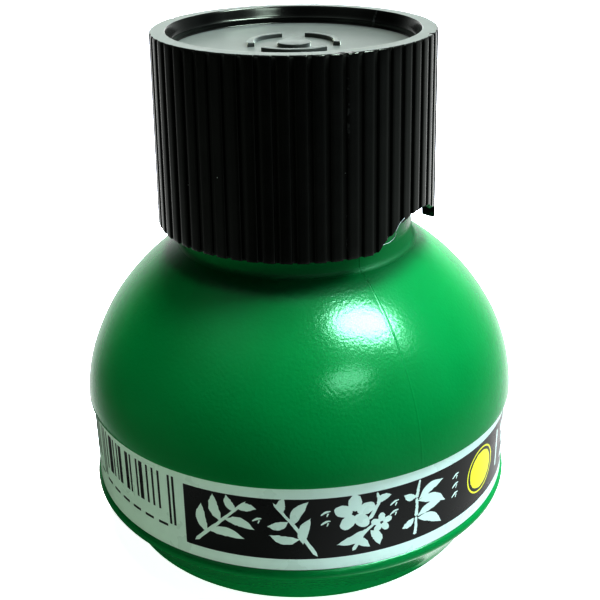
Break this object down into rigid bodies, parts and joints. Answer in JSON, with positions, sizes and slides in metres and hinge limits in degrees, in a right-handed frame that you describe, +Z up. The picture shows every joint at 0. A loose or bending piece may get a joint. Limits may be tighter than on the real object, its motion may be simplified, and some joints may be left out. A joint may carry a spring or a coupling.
{
  "type": "inkwell",
  "caption": "Squat moulded ink bottle with a wrapped label, a pouring plug in its neck and a fluted screw cap with a sealing disc.",
  "frame": {"origin": "middle of the bottle's resting ring, on the surface that it stands on", "axes": "+Z up through the neck and the cap; -Y is the front, where the label's printed panel begins; +X to the right of it"},
  "size_m": [0.0566, 0.0566, 0.0656],
  "materials": {
    "bottle": "green blow-moulded plastic, glossy with a fine orange-peel",
    "label": "glossy printed film, black panel with pale marks",
    "inner_plug": "natural soft plastic",
    "ink": "liquid black ink",
    "cap_liner": "foamed plastic disc",
    "cap": "black moulded plastic, satin gloss"
  },
  "bodies": {
    "bottle_body": {"bottle": "bottle", "label": "label", "inner_plug": "inner_plug", "ink": "ink"},
    "liner_body": {"cap_liner": "cap_liner"},
    "cap_body": {"cap": "cap"}
  },
  "joints": [
    {"name": "cap_lift", "type": "slide", "parent": "bottle_body", "child": "liner_body", "axis": [0, 0, 1], "range_m": [0, 0.0252]},
    {"name": "cap_turn", "type": "hinge", "parent": "liner_body", "child": "cap_body", "pos_m": [0, 0, 0.0615], "axis": [0, 0, 1], "range_deg": [0, 2160]}
  ],
  "couplings": [
    {"joint": "cap_lift", "follows": "cap_turn", "m_per_rad": 0.00066845}
  ]
}
